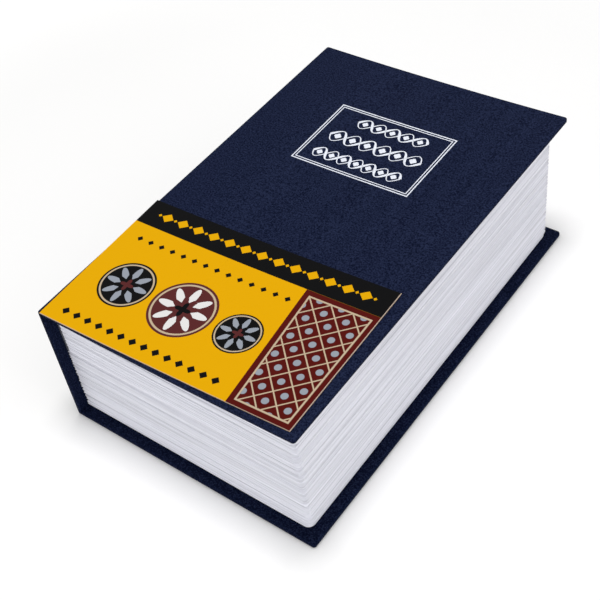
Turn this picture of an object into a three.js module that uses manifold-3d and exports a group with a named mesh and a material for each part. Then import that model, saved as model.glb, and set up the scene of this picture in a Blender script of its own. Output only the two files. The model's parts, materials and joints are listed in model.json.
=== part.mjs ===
// A cash safe made to look like a closed cloth-bound book, lying on its back cover.
//
// Millimetres. X runs from the spine to the fore-edge, Y from the tail to the head, Z is up.
// The origin is the middle of the back cover's underside.
//
// The front cover turns on its cloth joint along the top of the spine. Under it a steel lid turns
// on a knuckle hinge, and a cam lock in the lid catches a bracket inside the steel tray. The tray
// sits in a white moulded block whose ribs look like the edges of pages.

import * as THREE from 'three';
import { mergeVertices } from 'three/addons/utils/BufferGeometryUtils.js';
import Module from 'manifold-3d';

// Book
const bookWidth = 115;
const bookLength = 180;
const pageHeight = 55;
const foreSquare = 4.6; // the covers reach this far past the pages at the fore-edge
const endSquare = 4.4; // and this far at head and tail
const coverBow = 3; // how far the front cover has bowed up at its fore-edge
const coverCorner = 1.2;

// Binding: cloth over boards, with endpapers
const boardThickness = 1.6;
const clothThickness = 0.25;
const paperThickness = 0.25;
const glueLine = 0.05;
const turnIn = 10;
const paperInset = 6;
const jointGap = 0.5; // slit between the spine and the front cover
const jointLift = 0.5; // the cloth joint bends this far above the boards
const spineShoulder = 1.8; // rounding of the spine's outer top edge

// Card label on the tail half of the front cover
const labelThickness = 0.3;
const labelWidth = 109.9;
const labelHeight = 67;
const labelX = -1.4;
const labelY = -55;
const labelTilt = 1.6; // degrees: it isn't stuck on quite square
const labelCorner = 0.3;

// Page block: a moulded shell
const pageWall = 4;
const pageCorner = 2.8;
const rimThickness = 1.6;
const rimHeight = 5.5; // from the tray's ledge up to the top of the rim
const footThickness = 2;
const footWidth = 10;
const leafCount = 26; // ribs that stand for gatherings of pages
const leafDepth = 0.8;
const leafUnevenness = 0.38;
const leafRhythm = 1.9; // radians from one rib to the next in the wave that makes their heights uneven
const leafPhase = 0.6;
const grooveUnevenness = 0.3;
const grooveRhythm = 2.7; // the same for the depths of the grooves
const ribShape = [[0, 1], [0.18, 0.2], [0.5, 0], [0.82, 0.2]]; // shares of height and groove depth
const plainTop = 1.4;
const plainBottom = 1;

// Tray
const traySheet = 0.8;
const trayCorner = 3;
const trayClearance = 0.3;
const screwRadius = 1.4;
const screwHeadRadius = 2.8;
const screwHeadHeight = 1.5;
const screwTipRadius = 0.7;
const screwTipCover = 0.4; // board left under the screw's tip
const screwHoleClearance = 0.4;

// Lid
const lidSheet = 1;
const lidLift = 0.3; // free space between the closed lid and the tray's flange
const lidSideGap = 0.6;
const fingerGap = 2.2; // slot at the fore-edge to lift the lid by
const lidSetback = 0.65; // from the hinge barrel to the lid's edge
const lidCorner = 2.4;
const creaseHeight = 0.5;
const creaseWidth = 4;
const creaseGap = 1.5; // from the lock's face to the pressed line

// Hinge
const hingeSheet = 0.8;
const pinRadius = 0.75;
const pinClearance = 0.05;
const knuckleCount = 11;
const knuckleGap = 0.4;
const hingeEndGap = 0.8;
const barrelClearance = 0.4;
const leafBackGap = 0.25; // between the fixed leaf and the spine
const fixedLeafHeight = 22;
const fixedLeafEndGap = 0; // its ends show, flush with the page block
const leafRebate = 0.1; // spare depth of the rebate that the fixed leaf lies in
const lidLeafWidth = 13;
const rivetRadius = 1.2;
const rivetHeadRadius = 2.1;
const rivetHeadHeight = 0.8;
const rivetTailHeight = 0.5;
const rivetHoleClearance = 0.2;
const hingeRivetCount = 4;
const hingeRivetSpacing = 45;
const fixedLeafRivetDrop = 9; // from the ledge down to the fixed leaf's rivets
const lidLeafRivetReach = 8; // from the hinge axis to the lid leaf's rivets

// Lock
const lockInset = 17; // from the lid's free edge to the lock's axis
const lockFaceRadius = 7.5;
const lockFaceHeight = 1.2;
const lockFaceBevel = 0.5;
const lockBarrelRadius = 6;
const lockHoleClearance = 0.2;
const lockTail = 0.6;
const nutAcrossFlats = 15;
const nutThickness = 2.5;
const caseSheet = 0.8;
const caseDepth = 6;
const caseCorner = 2;
const caseForeMargin = 2.5;
const caseSpineMargin = 8;
const caseHalfLength = 16;
const plugRadius = 3.95;
const plugClearance = 0.05;
const spindleRadius = 2.95;
const plugLip = 1.6;
const plugEndPlay = 0.1;
const keywayWidth = 1.1;
const keywayLength = 5.6;
const keywayDepth = 7;
const camStandoff = 0.5;
const camThickness = 1.5;
const camHalfWidth = 4;
const camHeel = 5;
const camTipClearance = 1.2;
const camSquare = 3.6;
const camSquareClearance = 0.1;
const camScrewRadius = 1.2;
const camScrewHeadRadius = 3;
const camScrewHeadHeight = 1.2;
const camScrewLength = 6;

// Strike
const strikeSheet = 1;
const strikeLip = 5;
const strikeLeg = 7.5;
const strikeHalfLength = 12;
const strikeClearance = 0.4; // between the turned cam and the lip above it
const strikeRivetSpacing = 14;

// Outlines of the turned heads, as shares of their radius and height, from the bottom up
const rivetHeadShape = [[1, 0], [0.85, 0.6], [0.45, 1], [0, 1]];
const rivetTailShape = [[0, 1], [0.7, 1], [0.9, 0]];
const screwHeadShape = [[1, 0], [1, 0.5], [0.7, 1], [0, 1]];

// Facets
const cornerSteps = 3; // each quarter circle has twice as many sides
const roundSides = 24;
const smallSides = 12; // screws, rivets and their holes
const bowSteps = 12;

// Heights and places worked out from the sizes above
const coverThickness = boardThickness + 2 * clothThickness + paperThickness + 3 * glueLine;
const spineThickness = boardThickness + 2 * clothThickness + 2 * glueLine;
const bookHeight = pageHeight + 2 * coverThickness;
const halfLength = bookLength / 2;
const spineOuterX = -bookWidth / 2;
const spineInnerX = spineOuterX + spineThickness;
const foreX = bookWidth / 2;
const backStartX = spineInnerX + glueLine;
const coverStartX = spineInnerX + jointGap;
const coverHingeX = spineInnerX + jointGap / 2;
const coverHingeZ = bookHeight + jointLift;

// Depths of a cover's layers below its outer face
const boardTop = clothThickness + glueLine;
const boardBottom = boardTop + boardThickness;
const pocketBottom = boardBottom + glueLine;
const clothBottom = pocketBottom + clothThickness;
const paperTop = clothBottom + glueLine;
const paperBottom = paperTop + paperThickness;

const pageBottom = coverThickness;
const pageTop = pageBottom + pageHeight;
const pageSpineX = spineInnerX + glueLine;
const pageForeX = foreX - foreSquare;
const pageHalf = halfLength - endSquare;
const wellSpineX = pageSpineX + pageWall;
const wellForeX = pageForeX - pageWall;
const wellHalf = pageHalf - pageWall;
const rimForeX = pageForeX - rimThickness;
const rimHalf = pageHalf - rimThickness;
const ledgeZ = pageTop - rimHeight;

const trayBottom = pageBottom + footThickness;
const trayTop = ledgeZ + traySheet;
const traySpineX = wellSpineX + trayClearance;
const trayForeX = wellForeX - trayClearance;
const trayHalf = wellHalf - trayClearance;
const screwSpineX = wellSpineX + footWidth / 2;
const screwForeX = wellForeX - footWidth / 2;
const screwY = wellHalf - footWidth / 2;
const screwTipZ = clothThickness + glueLine + screwTipCover;
const screwHoleRadius = screwRadius + screwHoleClearance;

const lidBottom = trayTop + lidLift;
const lidTop = lidBottom + lidSheet;
const barrelRadius = pinRadius + pinClearance + hingeSheet;
const hingeX = spineInnerX + leafBackGap + barrelRadius;
const hingeZ = lidTop + barrelRadius;
const hingeHalf = rimHalf - hingeEndGap;
const lidSpineX = hingeX + barrelRadius + lidSetback;
const lidForeX = rimForeX - fingerGap;
const lidHalf = rimHalf - lidSideGap;
const fixedLeafX = hingeX - barrelRadius;
const fixedLeafTop = pageTop - glueLine - barrelClearance;
const rivetHoleRadius = rivetRadius + rivetHoleClearance;

const lockX = lidForeX - lockInset;
const creaseX = lockX - lockFaceRadius - creaseGap - creaseWidth / 2;
const caseSpineX = lockX - lockBarrelRadius - caseSpineMargin;
const caseForeX = lockX + lockBarrelRadius + caseForeMargin;
const caseBottom = lidBottom - caseDepth;
const nutBottom = caseBottom - nutThickness;
const lockBottom = nutBottom - lockTail;
const lockFaceTop = lidTop + lockFaceHeight;
const plugShoulderZ = lockBottom + plugLip + plugEndPlay;
const camTop = lockBottom - camStandoff;
const camBottom = camTop - camThickness;
const camReach = trayForeX - traySheet - lockX - camTipClearance;
const strikeBottom = camTop + strikeClearance;
const strikeWallX = trayForeX - traySheet;
const strikeRivetZ = strikeBottom + strikeLeg / 2 + strikeSheet / 2;

// Finishes
function finish(color, roughness, metalness) {
  return new THREE.MeshStandardMaterial({ color, roughness, metalness });
}

const navyCloth = () => finish(0x141b3c, 0.85, 0);
const greyBoard = () => finish(0x8d8878, 0.95, 0);
const endpaper = () => finish(0x1a2145, 0.9, 0);
const whiteMoulding = () => finish(0xe3e3ee, 0.5, 0);
const darkSteel = () => finish(0x2c2e33, 0.55, 0.6);
const greySteel = () => finish(0x8f989e, 0.45, 0.5);
const brightSteel = () => finish(0xc9ccd0, 0.25, 1);
const brass = () => finish(0xb9974c, 0.35, 1);
const printedCard = () => finish(0xf2b705, 0.4, 0);

// Solids
const wasm = await Module();
wasm.setup();

function toSolid(geometry) {
  const plain = geometry.clone();
  plain.deleteAttribute('normal');
  plain.deleteAttribute('uv');
  const merged = mergeVertices(plain);
  const corners = merged.index.array;
  const triangles = [];
  for (let i = 0; i < corners.length; i += 3) {
    const [a, b, c] = corners.slice(i, i + 3);
    if (a !== b && b !== c && c !== a) triangles.push(a, b, c);
  }
  const vertProperties = merged.attributes.position.array;
  const triVerts = Uint32Array.from(triangles);
  return new wasm.Manifold(new wasm.Mesh({ numProp: 3, vertProperties, triVerts }));
}

function toGeometry(solid) {
  const { vertProperties, triVerts } = solid.getMesh();
  const geometry = new THREE.BufferGeometry();
  geometry.setAttribute('position', new THREE.BufferAttribute(vertProperties, 3));
  geometry.setIndex(new THREE.BufferAttribute(triVerts, 1));
  geometry.computeVertexNormals();
  return geometry;
}

function join(first, ...others) {
  return others.reduce((sum, solid) => sum.add(solid), first);
}

function cut(first, ...others) {
  return others.reduce((rest, solid) => rest.subtract(solid), first);
}

// The stretch from -half to +half, drawn in at both ends.
function between(half, inset = 0) {
  return [inset - half, half - inset];
}

function block([x0, x1], [y0, y1], [z0, z1]) {
  const box = new THREE.BoxGeometry(x1 - x0, y1 - y0, z1 - z0);
  box.translate((x0 + x1) / 2, (y0 + y1) / 2, (z0 + z1) / 2);
  return toSolid(box);
}

function roundedOutline([x0, x1], [y0, y1], radius) {
  const shape = new THREE.Shape();
  shape.absarc(x1 - radius, y0 + radius, radius, -Math.PI / 2, 0);
  shape.absarc(x1 - radius, y1 - radius, radius, 0, Math.PI / 2);
  shape.absarc(x0 + radius, y1 - radius, radius, Math.PI / 2, Math.PI);
  shape.absarc(x0 + radius, y0 + radius, radius, Math.PI, Math.PI * 1.5);
  shape.closePath();
  return shape;
}

function upright(shape, [z0, z1]) {
  const options = { depth: z1 - z0, bevelEnabled: false, curveSegments: cornerSteps };
  const prism = new THREE.ExtrudeGeometry(shape, options);
  prism.translate(0, 0, z0);
  return toSolid(prism);
}

// A profile drawn in X and Z, pulled along Y.
function lengthwise(shape, [y0, y1]) {
  const options = { depth: y1 - y0, bevelEnabled: false, curveSegments: roundSides / 2 };
  const prism = new THREE.ExtrudeGeometry(shape, options);
  prism.rotateX(Math.PI / 2);
  prism.translate(0, y1, 0);
  return toSolid(prism);
}

function disc(radius, [z0, z1], x = 0, y = 0, sides = roundSides) {
  const rod = new THREE.CylinderGeometry(radius, radius, z1 - z0, sides);
  rod.rotateX(Math.PI / 2);
  rod.translate(x, y, (z0 + z1) / 2);
  return toSolid(rod);
}

// A rod along X, for the holes that the side rivets pass through.
function crossRod(radius, [x0, x1], y, z) {
  const rod = new THREE.CylinderGeometry(radius, radius, x1 - x0, smallSides);
  rod.rotateZ(Math.PI / 2);
  rod.translate((x0 + x1) / 2, y, z);
  return toSolid(rod);
}

// A turned piece: radius and height pairs, from the lowest point round the outside to the top.
function turned(points, sides = roundSides) {
  const lathe = new THREE.LatheGeometry(points.map(([r, z]) => new THREE.Vector2(r, z)), sides);
  lathe.rotateX(Math.PI / 2);
  return toSolid(lathe);
}

function spread(count, spacing) {
  return Array.from({ length: count }, (_, i) => (i - (count - 1) / 2) * spacing);
}

// Binding

// The front cover bows up towards its fore-edge. Its layers all follow this curve.
function bowZ(x) {
  const along = (x - coverStartX) / (foreX - coverStartX);
  return bookHeight + coverBow * along * along;
}

// A layer of the front cover between two depths below its outer face.
function bowedLayer([x0, x1], [y0, y1], [top, bottom]) {
  const shape = new THREE.Shape();
  for (let i = 0; i <= bowSteps; i++) {
    const x = x0 + ((x1 - x0) * i) / bowSteps;
    if (i === 0) shape.moveTo(x, bowZ(x) - bottom);
    else shape.lineTo(x, bowZ(x) - bottom);
  }
  for (let i = bowSteps; i >= 0; i--) {
    const x = x0 + ((x1 - x0) * i) / bowSteps;
    shape.lineTo(x, bowZ(x) - top);
  }
  shape.closePath();
  return lengthwise(shape, [y0, y1]);
}

// All that lies within a cover's outline, set in from its outside. The fore-edge corners are rounded.
function withinCover(layer, startX, inset) {
  const reachX = [startX - coverCorner * 2, foreX - inset];
  const outline = roundedOutline(reachX, between(halfLength, inset), coverCorner - inset);
  return layer.intersect(upright(outline, [-coverThickness, bookHeight + coverBow + coverThickness]));
}

// The cloth is a thin skin round the board: a solid with the board's pocket cut out of it, and the
// window that the turn-ins leave open.
function coverCloth() {
  const skin = bowedLayer([coverStartX, foreX], between(halfLength), [0, clothBottom]);
  const pocketX = [coverStartX - glueLine, foreX - clothThickness];
  const pocket = bowedLayer(pocketX, between(halfLength, clothThickness), [clothThickness, pocketBottom]);
  const windowX = [coverStartX - glueLine, foreX - turnIn];
  const window = bowedLayer(windowX, between(halfLength, turnIn), [boardBottom, paperBottom]);
  const hollow = withinCover(pocket, coverStartX, clothThickness);
  return cut(withinCover(skin, coverStartX, 0), hollow, window);
}

function coverBoard() {
  const inset = clothThickness + glueLine;
  const reachX = [coverStartX, foreX - inset];
  const board = bowedLayer(reachX, between(halfLength, inset), [boardTop, boardBottom]);
  return withinCover(board, coverStartX, inset);
}

function coverPastedown() {
  const reachX = [coverStartX, foreX - paperInset];
  return bowedLayer(reachX, between(halfLength, paperInset), [paperTop, paperBottom]);
}

function frontLabel() {
  const layer = [-glueLine - labelThickness, -glueLine];
  const card = bowedLayer([coverStartX, foreX], between(halfLength), layer);
  const outline = roundedOutline(between(labelWidth / 2), between(labelHeight / 2), labelCorner);
  const edge = upright(outline, [pageTop, bookHeight + coverBow + coverThickness]);
  return card.intersect(edge.rotate([0, 0, labelTilt]).translate([labelX, labelY, 0]));
}

function backCloth() {
  const skin = block([backStartX, foreX], between(halfLength), [0, clothBottom]);
  const pocketX = [backStartX - glueLine, foreX - clothThickness];
  const pocket = block(pocketX, between(halfLength, clothThickness), [clothThickness, pocketBottom]);
  const windowX = [backStartX - glueLine, foreX - turnIn];
  const window = block(windowX, between(halfLength, turnIn), [boardBottom, coverThickness]);
  const hollow = withinCover(pocket, backStartX, clothThickness);
  return cut(withinCover(skin, backStartX, 0), hollow, window);
}

function trayScrewPlaces() {
  const places = [];
  for (const x of [screwSpineX, screwForeX]) {
    for (const y of [-screwY, screwY]) places.push([x, y]);
  }
  return places;
}

function trayScrewHoles([z0, z1]) {
  return trayScrewPlaces().map(([x, y]) => disc(screwHoleRadius, [z0, z1], x, y, smallSides));
}

function backBoard() {
  const inset = clothThickness + glueLine;
  const board = block([backStartX, foreX - inset], between(halfLength, inset), [boardTop, boardBottom]);
  const holes = trayScrewHoles([screwTipZ - glueLine, coverThickness]);
  return cut(withinCover(board, backStartX, inset), ...holes);
}

function backPastedown() {
  const reachX = [backStartX, foreX - paperInset];
  const paper = block(reachX, between(halfLength, paperInset), [paperTop, paperBottom]);
  return cut(paper, ...trayScrewHoles([0, coverThickness * 2]));
}

// The spine's cross-section, set in from its outside. The outer top edge is rounded, where the cloth
// comes round onto the front cover.
function spineProfile(inset) {
  const [outerX, innerX] = [spineOuterX + inset, spineInnerX - inset];
  const top = bookHeight - inset;
  const radius = spineShoulder - inset;
  const shape = new THREE.Shape();
  shape.moveTo(outerX, inset);
  shape.lineTo(innerX, inset);
  shape.lineTo(innerX, top);
  shape.absarc(outerX + radius, top - radius, radius, Math.PI / 2, Math.PI);
  shape.closePath();
  return shape;
}

function spineCloth() {
  const skin = lengthwise(spineProfile(0), between(halfLength));
  const pocket = lengthwise(spineProfile(clothThickness), between(halfLength, clothThickness));
  const windowX = [spineOuterX + spineThickness / 2, foreX];
  const windowZ = [clothThickness, bookHeight - spineShoulder];
  const window = block(windowX, between(halfLength, turnIn), windowZ);
  return cut(skin, pocket, window);
}

function spineBoard() {
  const inset = clothThickness + glueLine;
  return lengthwise(spineProfile(inset), between(halfLength, inset));
}

// Page block

// The block seen from above at one height, set in by the depth of the groove there. The spine side
// stays straight, so the ribs end in saw teeth beside the spine.
function pageRing(inset, z) {
  const ring = [new THREE.Vector3(pageSpineX, inset - pageHalf, z)];
  const radius = pageCorner - inset;
  for (const side of [-1, 1]) {
    const start = side < 0 ? -Math.PI / 2 : 0;
    for (let i = 0; i <= cornerSteps * 2; i++) {
      const angle = start + ((Math.PI / 4) * i) / cornerSteps;
      const x = pageForeX - pageCorner + radius * Math.cos(angle);
      const y = side * (pageHalf - pageCorner) + radius * Math.sin(angle);
      ring.push(new THREE.Vector3(x, y, z));
    }
  }
  ring.push(new THREE.Vector3(pageSpineX, pageHalf - inset, z));
  return ring;
}

// Uneven ribs, like gatherings of paper: each swells out of its groove and falls back.
function pageRings() {
  const wave = (i) => Math.sin(leafRhythm * i + leafPhase);
  const share = Array.from({ length: leafCount }, (_, i) => 1 + leafUnevenness * wave(i));
  const total = share.reduce((sum, value) => sum + value, 0);
  const ribbed = pageHeight - plainTop - plainBottom;
  const rings = [pageRing(0, pageBottom), pageRing(0, pageBottom + plainBottom - leafDepth / 4)];
  let z = pageBottom + plainBottom;
  share.forEach((value, i) => {
    const height = (ribbed * value) / total;
    const depth = leafDepth * (1 - grooveUnevenness + grooveUnevenness * Math.sin(grooveRhythm * i));
    for (const [along, inset] of ribShape) rings.push(pageRing(depth * inset, z + height * along));
    z += height;
  });
  rings.push(pageRing(leafDepth / 2, z), pageRing(0, z + leafDepth / 4), pageRing(0, pageTop));
  return rings;
}

function loft(rings) {
  const count = rings[0].length;
  const last = (rings.length - 1) * count;
  const index = [];
  for (let start = 0; start < last; start += count) {
    for (let i = 0; i < count; i++) {
      const next = (i + 1) % count;
      index.push(start + i, start + next, start + count + next);
      index.push(start + i, start + count + next, start + count + i);
    }
  }
  const outline = rings[0].map((point) => new THREE.Vector2(point.x, point.y));
  for (const [a, b, c] of THREE.ShapeUtils.triangulateShape(outline, [])) {
    index.push(c, b, a);
    index.push(last + a, last + b, last + c);
  }
  const geometry = new THREE.BufferGeometry().setFromPoints(rings.flat());
  geometry.setIndex(index);
  return toSolid(geometry);
}

function pageBlock() {
  const above = pageTop + rimHeight;
  const wellCorner = trayCorner + trayClearance;
  const wellOutline = roundedOutline([wellSpineX, wellForeX], between(wellHalf), wellCorner);
  const well = upright(wellOutline, [trayBottom, above]);
  const footX = [wellSpineX + footWidth, wellForeX - footWidth];
  const footOutline = roundedOutline(footX, between(wellHalf, footWidth), wellCorner);
  const foot = upright(footOutline, [pageBottom - 1, trayBottom + 1]);
  const recessX = [pageSpineX - pageWall, rimForeX];
  const recessOutline = roundedOutline(recessX, between(rimHalf), pageCorner - rimThickness);
  const recess = upright(recessOutline, [ledgeZ, above]);
  const rebateX = [pageSpineX - pageWall, fixedLeafX + hingeSheet + leafRebate];
  const rebateZ = [fixedLeafTop - fixedLeafHeight - leafRebate, above];
  const rebate = block(rebateX, between(bookLength), rebateZ);
  const rivetHoles = hingeRivetPlaces().map((y) => sideRivetHole(y, [pageSpineX - 1, traySpineX]));
  const screwHoles = trayScrewHoles([0, trayBottom + 1]);
  return cut(loft(pageRings()), well, foot, recess, rebate, ...rivetHoles, ...screwHoles);
}

// Tray

function hingeRivetPlaces() {
  return spread(hingeRivetCount, hingeRivetSpacing);
}

function sideRivetHole(y, reachX) {
  return crossRod(rivetHoleRadius, reachX, y, ledgeZ - fixedLeafRivetDrop);
}

function safeTray() {
  const outer = roundedOutline([traySpineX, trayForeX], between(trayHalf), trayCorner);
  const innerX = [traySpineX + traySheet, trayForeX - traySheet];
  const inner = roundedOutline(innerX, between(trayHalf, traySheet), trayCorner - traySheet);
  const flangeX = [traySpineX, rimForeX - trayClearance];
  const flange = roundedOutline(flangeX, between(rimHalf, trayClearance), pageCorner - rimThickness);
  const body = join(upright(outer, [trayBottom, trayTop]), upright(flange, [ledgeZ, trayTop]));
  const hollow = upright(inner, [trayBottom + traySheet, trayTop + 1]);
  const holeX = [traySpineX - 1, traySpineX + trayCorner];
  const hingeHoles = hingeRivetPlaces().map((y) => sideRivetHole(y, holeX));
  const screwHoles = trayScrewHoles([0, trayBottom + traySheet + 1]);
  return cut(body, hollow, ...hingeHoles, ...strikeRivetHoles(), ...screwHoles);
}

function trayScrew() {
  const length = trayBottom + traySheet - screwTipZ;
  return turned([
    [0, -length],
    [screwTipRadius, -length],
    [screwRadius, screwRadius - length],
    [screwRadius, 0],
    ...screwHeadShape.map(([r, h]) => [screwHeadRadius * r, screwHeadHeight * h]),
  ], smallSides);
}

// A rivet with its head on Z = 0 and its shank going down through what it holds. The tail is spread
// where there is room for it, and flush where there is none.
function rivet(grip, tailHeight = 0) {
  const tail = rivetTailShape.map(([r, drop]) => [rivetHeadRadius * r, -grip - tailHeight * drop]);
  return turned([
    ...(tailHeight > 0 ? tail : [[0, -grip]]),
    [rivetRadius, -grip],
    [rivetRadius, 0],
    ...rivetHeadShape.map(([r, h]) => [rivetHeadRadius * r, rivetHeadHeight * h]),
  ], smallSides);
}

function strikeRivetPlaces() {
  return spread(2, strikeRivetSpacing);
}

function strikeRivetHoles() {
  const reach = [strikeWallX - strikeSheet * 2, trayForeX + 1];
  return strikeRivetPlaces().map((y) => crossRod(rivetHoleRadius, reach, y, strikeRivetZ));
}

function strikeBracket() {
  const along = between(strikeHalfLength);
  const lipZ = [strikeBottom, strikeBottom + strikeSheet];
  const lip = block([strikeWallX - strikeLip, strikeWallX], along, lipZ);
  const legZ = [strikeBottom, strikeBottom + strikeLeg];
  const leg = block([strikeWallX - strikeSheet, strikeWallX], along, legZ);
  return cut(join(lip, leg), ...strikeRivetHoles());
}

// Hinge

function knucklePlaces(parity) {
  const pitch = (2 * hingeHalf) / knuckleCount;
  const places = [];
  for (let i = parity; i < knuckleCount; i += 2) {
    const start = i * pitch - hingeHalf;
    places.push([start + knuckleGap / 2, start + pitch - knuckleGap / 2]);
  }
  return places;
}

function barrel(reachY) {
  const ring = new THREE.Shape().absarc(hingeX, hingeZ, barrelRadius, 0, Math.PI * 2);
  return lengthwise(ring, reachY);
}

function pinHole() {
  const hole = new THREE.Shape().absarc(hingeX, hingeZ, pinRadius + pinClearance, 0, Math.PI * 2);
  return lengthwise(hole, between(bookLength));
}

function hingeLeafFixed() {
  const leafX = [fixedLeafX, fixedLeafX + hingeSheet];
  const end = pageHalf - fixedLeafEndGap;
  const relief = hingeZ - barrelRadius - barrelClearance;
  const leaf = block(leafX, between(end), [fixedLeafTop - fixedLeafHeight, fixedLeafTop]);
  const gapY = between(hingeHalf + barrelClearance, knuckleGap / 2);
  const gap = block([fixedLeafX - 1, hingeX], gapY, [relief, pageTop]);
  const knuckles = knucklePlaces(0).flatMap((reachY) => [
    barrel(reachY),
    block(leafX, reachY, [relief - hingeSheet, hingeZ]),
  ]);
  const holeX = [fixedLeafX - 1, fixedLeafX + hingeSheet + 1];
  const holes = hingeRivetPlaces().map((y) => sideRivetHole(y, holeX));
  return cut(join(cut(leaf, gap), ...knuckles), pinHole(), ...holes);
}

function lidHingeLeaf() {
  const leafZ = [hingeZ - barrelRadius, hingeZ - barrelRadius + hingeSheet];
  const relief = hingeX + barrelRadius + barrelClearance;
  const plate = block([relief, hingeX + lidLeafWidth], between(hingeHalf, knuckleGap), leafZ);
  const knuckles = knucklePlaces(1).flatMap((reachY) => [
    barrel(reachY),
    block([hingeX, relief + hingeSheet], reachY, leafZ),
  ]);
  return cut(join(plate, ...knuckles), pinHole(), ...lidRivetHoles());
}

function hingePin() {
  const pin = new THREE.Shape().absarc(hingeX, hingeZ, pinRadius, 0, Math.PI * 2);
  const end = hingeHalf + hingeEndGap / 2;
  return lengthwise(pin, between(end));
}

// Lid

function lidRivetHoles() {
  const x = hingeX + lidLeafRivetReach;
  const through = [lidBottom - 1, lidTop + hingeSheet + 1];
  return hingeRivetPlaces().map((y) => disc(rivetHoleRadius, through, x, y, smallSides));
}

function lidPanel() {
  const rise = creaseWidth / 2;
  const line = [
    [lidSpineX, 0],
    [creaseX - rise, 0],
    [creaseX - rise / 2, creaseHeight],
    [creaseX + rise / 2, creaseHeight],
    [creaseX + rise, 0],
    [lidForeX, 0],
  ];
  const shape = new THREE.Shape();
  line.forEach(([x, lift], i) => {
    if (i === 0) shape.moveTo(x, lidBottom + lift);
    else shape.lineTo(x, lidBottom + lift);
  });
  for (const [x, lift] of [...line].reverse()) shape.lineTo(x, lidTop + lift);
  shape.closePath();
  const sheet = lengthwise(shape, between(lidHalf));
  const corners = roundedOutline([lidSpineX, lidForeX], between(lidHalf), lidCorner);
  const outline = upright(corners, [lidBottom - 1, lidTop + creaseHeight + 1]);
  const lockHole = disc(lockBarrelRadius + lockHoleClearance, [lidBottom - 1, lidTop + 1], lockX);
  return cut(sheet.intersect(outline), lockHole, ...lidRivetHoles());
}

function lockCase() {
  const outline = roundedOutline([caseSpineX, caseForeX], between(caseHalfLength), caseCorner);
  const innerX = [caseSpineX + caseSheet, caseForeX - caseSheet];
  const inner = roundedOutline(innerX, between(caseHalfLength, caseSheet), caseCorner - caseSheet);
  const floorTop = caseBottom + caseSheet;
  const hollow = upright(inner, [floorTop, lidBottom + 1]);
  const hole = disc(lockBarrelRadius + lockHoleClearance, [caseBottom - 1, floorTop + 1], lockX);
  return cut(upright(outline, [caseBottom, lidBottom]), hollow, hole);
}

function lockBody() {
  const bore = plugRadius + plugClearance;
  const lipBore = spindleRadius + plugClearance;
  const body = turned([
    [lipBore, lockBottom],
    [lockBarrelRadius, lockBottom],
    [lockBarrelRadius, lidTop],
    [lockFaceRadius, lidTop],
    [lockFaceRadius, lockFaceTop - lockFaceBevel],
    [lockFaceRadius - lockFaceBevel, lockFaceTop],
    [bore, lockFaceTop],
    [bore, lockBottom + plugLip],
    [lipBore, lockBottom + plugLip],
    [lipBore, lockBottom],
  ]);
  return body.translate([lockX, 0, 0]);
}

function lockNut() {
  const hexagon = new THREE.CylinderGeometry(1, 1, nutThickness, 6);
  hexagon.scale(nutAcrossFlats / Math.sqrt(3), 1, nutAcrossFlats / Math.sqrt(3));
  hexagon.rotateX(Math.PI / 2);
  hexagon.translate(lockX, 0, nutBottom + nutThickness / 2);
  const hole = disc(lockBarrelRadius + lockHoleClearance, [nutBottom - 1, caseBottom + 1], lockX);
  return cut(toSolid(hexagon), hole);
}

// Lock: what turns with the key. The keyway and the cam lie along Y while the lid is free.

function keyPlug() {
  const plug = turned([
    [0, camTop],
    [spindleRadius, camTop],
    [spindleRadius, plugShoulderZ],
    [plugRadius, plugShoulderZ],
    [plugRadius, lockFaceTop - plugEndPlay],
    [0, lockFaceTop - plugEndPlay],
  ]);
  const half = camSquare / 2;
  const square = block(between(half), between(half), [camBottom, camTop + 1]);
  const slotZ = [lockFaceTop - keywayDepth, lockFaceTop + 1];
  const keyway = block(between(keywayWidth / 2), between(keywayLength / 2), slotZ);
  const screwHole = disc(camScrewRadius + camSquareClearance, [camBottom - 1, camBottom + camScrewLength]);
  return cut(join(plug, square), keyway, screwHole).translate([lockX, 0, 0]);
}

function lockCam() {
  const shape = new THREE.Shape();
  shape.moveTo(camHalfWidth, 0);
  shape.lineTo(camHalfWidth, camReach - camHalfWidth);
  shape.absarc(0, camReach - camHalfWidth, camHalfWidth, 0, Math.PI);
  shape.lineTo(-camHalfWidth, 0);
  shape.absarc(0, camHalfWidth - camHeel, camHalfWidth, Math.PI, Math.PI * 2);
  shape.closePath();
  const half = camSquare / 2 + camSquareClearance;
  const socket = block(between(half), between(half), [camBottom - 1, camTop + 1]);
  return cut(upright(shape, [camBottom, camTop]), socket).translate([lockX, 0, 0]);
}

function camScrew() {
  const tip = camBottom + camScrewLength - camStandoff;
  const head = screwHeadShape.map(([r, h]) => [camScrewHeadRadius * r, camBottom - camScrewHeadHeight * h]);
  const screw = turned([
    ...head.reverse(),
    [camScrewRadius, camBottom],
    [camScrewRadius, tip],
    [0, tip],
  ], smallSides);
  return screw.translate([lockX, 0, 0]);
}

// Assembly: one group for what stays still and one at the pivot of each piece that turns.
const safe = new THREE.Group();

function pivotGroup(parent, parentPivot, pivot) {
  const group = new THREE.Group();
  group.position.subVectors(pivot, parentPivot);
  parent.add(group);
  return group;
}

function addPiece(group, pivot, name, solid, material) {
  const mesh = new THREE.Mesh(toGeometry(solid), material);
  mesh.geometry.translate(-pivot.x, -pivot.y, -pivot.z);
  mesh.name = name;
  group.add(mesh);
}

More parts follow.
